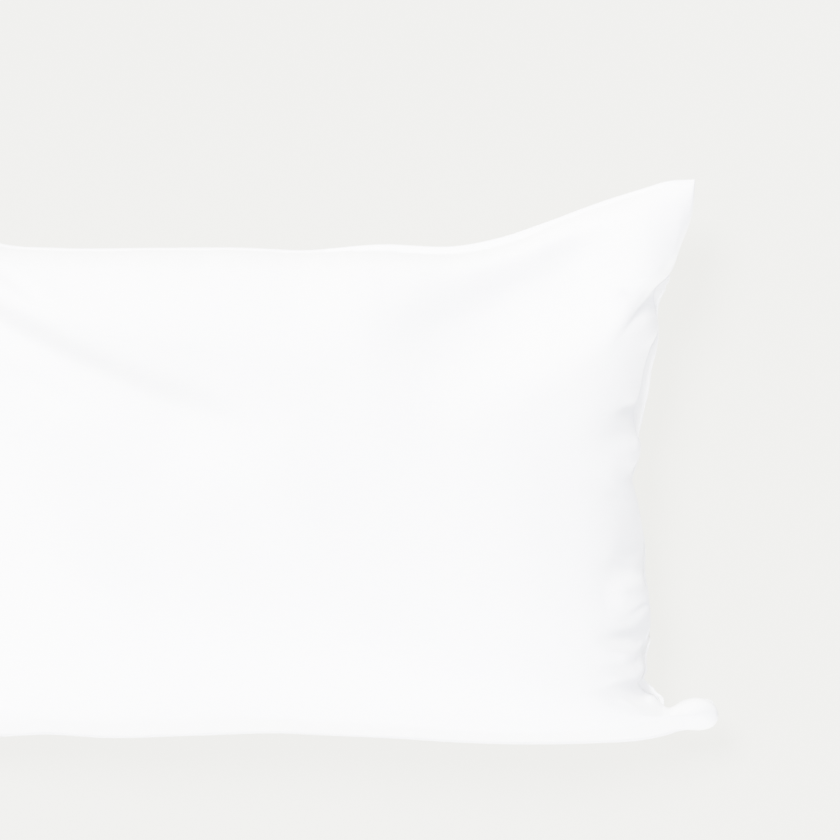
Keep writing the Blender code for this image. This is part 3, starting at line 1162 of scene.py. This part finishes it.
@dataclass
class BackPanel:
    """The back panel, a thin sheet that carries the pillow, with its free hem at the open end."""

    form: FilledForm
    cut: Cut = Cut(cells=(240, 160))
    finish: CottonPercale = CottonPercale("cotton_percale_back", let_through=0.9)
    thickness: float = 1.0 * MM
    hem_reach: float = 0.026
    hem_width: float = 22 * MM
    hem_extra: float = 0.35 * MM
    hem_step: float = 1.5 * MM
    rolled_from: Span = (0.9, 0.1)
    rolled_blend: float = 0.04
    rolled_tuck: float = 0.6
    stitches: HemStitches = HemStitches()
    stitch_inset: float = 2 * MM
    stitch_ends: int = 2
    lips: tuple[Lip, ...] = table(
        Lip,
        (-222, 0, 0, 0), (-216, 0.6, 0, 0), (-210, 5, -2, 5), (-204, 9.5, -4, 5),
        (-199, 12, -5, 3), (-195, 8.5, -4, 2), (-189, 5, -2, 1), (-178, 2.2, 1, 2),
        (-165, 6.6, 0, 4), (-152, 0.8, 1, 0), (-122, 0.4, 0, 0), (-110, 1.6, 4, 3),
        (-80, 1.8, 4, 3), (-56, 0.6, 0, 0), (-19, 0.4, 0, 0), (-8, 2, 1, 1), (8, 0.4, 0, 0),
        (25, 1.8, 1, 2), (34, 7, -1, 3), (44, 9.2, -3, 3), (62, 7.6, -6, 1), (98, 6.5, -5, 1),
        (113, 2.2, 0, 1), (128, 1.3, 0, 1), (140, 5, -3, 1), (151, 10.5, -7, 0), (160, 5, -5, 0),
        (167, 0.3, 0, 0), (248, 0, 0, 0),
    )
    gathers: tuple[SeamGathers, ...] = table(
        SeamGathers,
        (Side.TOP, 46, (0.2, 1.1), (6, 22), 13),
        (Side.BOTTOM, 46, (0.2, 1.1), (6, 22), 14),
        (Side.LEFT, 30, (0.3, 1.4), (8, 26), 15),
        (Side.OPEN, 24, (0.2, 0.9), (6, 20), 16),
    )

    def open_hem(self, points: Points, u: Points) -> Points:
        """Moves the free hem at the open end outwards and down.

        Args:
            points: the sheet's points.
            u: their places along the length.

        Returns:
            The moved points.
        """
        rows = np.array(self.lips)
        y = (points[..., 1] - self.form.shift[1]) / MM
        out, down, dip = (np.interp(y, rows[:, 0], rows[:, k]) * MM for k in (1, 2, 3))
        reach = np.clip((u - (1 - self.hem_reach)) / self.hem_reach, 0, 1) ** 2
        moved = points.copy()
        moved[..., 0] += reach * out
        moved[..., 2] -= reach * down + 4 * reach * (1 - reach) * dip  # the dip peaks half way
        return moved

    def faces(self) -> tuple[Points, Points]:
        """Works out the sheet's two faces.

        Returns:
            The inner face and the outer face.
        """
        u, v = self.cut.grid()
        under_pillow = self.open_hem(self.form.underside(u, v), u)
        down = -normals_of(under_pillow)
        lift = sum(gather.rise(u, v, self.cut) for gather in self.gathers)
        past_hem_line = u * self.cut.length - (self.cut.length - self.hem_width)
        in_hem = np.clip(past_hem_line / self.hem_step, 0, 1)
        thick = self.thickness + self.hem_extra * in_hem
        from_u, to_v = self.rolled_from
        rolled = eased((u - from_u) / self.rolled_blend) * eased((to_v - v) / self.rolled_blend)
        reach = (self.form.sheet + self.form.seam_gap + lift) * (1 - self.rolled_tuck * rolled)
        outer = under_pillow + down * reach[..., None]
        outer[..., 2] = np.maximum(outer[..., 2], 0)
        return outer - down * thick[..., None], outer

    def stitch_line(self, outer: Points) -> Points:
        """Finds where the hem is stitched: along the outer face, just inside the hem's fold.

        Args:
            outer: the outer face.

        Returns:
            Points along the line, clear of the sewn corners.
        """
        u = self.cut.lines()[0] * self.cut.length
        place = self.cut.length - self.hem_width + self.stitch_inset
        k = int(np.searchsorted(u, place))
        share = (place - u[k - 1]) / (u[k] - u[k - 1])
        line = outer[k - 1] + (outer[k] - outer[k - 1]) * share
        return line[self.stitch_ends : -self.stitch_ends]

    def dress(self) -> list[bpy.types.Object]:
        """Builds the panel and its hem's stitches, and dresses them.

        Returns:
            The sheet and the stitches.
        """
        inner, outer = self.faces()
        stitches = self.stitches.sew(self.stitch_line(outer))
        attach(stitches, ROOT)
        piece = shell("back_panel", inner, outer, self.cut)
        piece.data.materials.append(self.finish.make())
        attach(piece, ROOT)
        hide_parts(Node.BACK.value)
        return [piece, stitches]


# ---- the studio ----


class Lamp(NamedTuple):
    """A far, broad light: where it stands as seen from the case, its strength, and how broad it
    looks, in degrees."""

    name: str
    x: float
    y: float
    z: float
    strength: float
    spread: float
    colour: str


@dataclass(frozen=True)
class Studio:
    """A pale ground, even soft light, and a camera straight above the face."""

    ground_size: float = 14.0
    ground_level: float = -0.2 * MM
    aim: Span = (0.1134, 0.0378)
    camera_height: float = 3.0
    view_width: float = 0.7392
    sensor: float = 36.0  # millimetres
    far: float = 50.0
    seam_height: float = 0.06
    sky: float = 2.8
    sky_colour: str = "#F2F4FF"
    lamps: tuple[Lamp, ...] = table(
        Lamp,
        ("key_over_the_upper_left", -0.38, 0.5, 0.86, 30.0, 22.0, "#FFFEFA"),
        ("bounce_past_the_bottom_side", 0.05, -1.0, 0.0, 47.0, 16.0, "#FFFFFF"),
        ("bounce_past_the_left_side", -0.9, 0.45, 0.04, 8.0, 16.0, "#FFFFFF"),
        ("cool_fill_over_the_open_end", 0.5, 0.0, 1.0, 7.0, 40.0, "#DEE2FF"),
    )

    def lay_ground(self) -> None:
        """Lays the ground just under the case."""
        half = self.ground_size / 2
        mesh = bpy.data.meshes.new("ground")
        corners = [(-half, -half), (half, -half), (half, half), (-half, half)]
        mesh.from_pydata([(x, y, self.ground_level) for x, y in corners], [], [(0, 1, 2, 3)])
        mesh.materials.append(OpalAcrylic("opal_acrylic_ground").make())
        ground = put_in_scene("ground", mesh)

    def light(self) -> None:
        """Hangs an even dome and the lamps."""
        world = bpy.data.worlds.new("dome")
        world.use_nodes = True
        glow = {"Color": linear(self.sky_colour), "Strength": self.sky}
        feed(world.node_tree, world.node_tree.nodes["Background"], glow)
        bpy.context.scene.world = world
        for row in self.lamps:
            lamp = bpy.data.lights.new(row.name, "SUN")
            lamp.energy = row.strength
            lamp.angle = math.radians(row.spread)
            lamp.color = linear(row.colour)[:3]
            hung = put_in_scene(row.name, lamp)
            hung.rotation_euler = Vector((row.x, row.y, row.z)).to_track_quat("Z", "Y").to_euler()

    def set_camera(self) -> None:
        """Sets a long lens straight above the face, where the closed end lies out of view."""
        lens = bpy.data.cameras.new("camera")
        lens.sensor_width = self.sensor
        lens.lens = self.sensor * (self.camera_height - self.seam_height) / self.view_width
        lens.clip_end = self.far
        camera = put_in_scene("camera", lens)
        camera.location = (*self.aim, self.camera_height)
        bpy.context.scene.camera = camera

    def build(self) -> None:
        """Sets the whole studio up."""
        self.lay_ground()
        self.light()
        self.set_camera()


def main() -> None:
    """Builds the studio and the case in order."""
    logging.basicConfig(level=logging.INFO, format="%(name)s: %(message)s")
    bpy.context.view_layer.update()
    Studio().build()
    form = FilledForm()
    form.settle()
    for piece in (FrontPanel(form).dress(), *BackPanel(form).dress()):
        LOG.info("%s: %d faces, %s m", piece.name, len(piece.data.polygons), piece.dimensions[:])


if __name__ == "__main__":
    main()
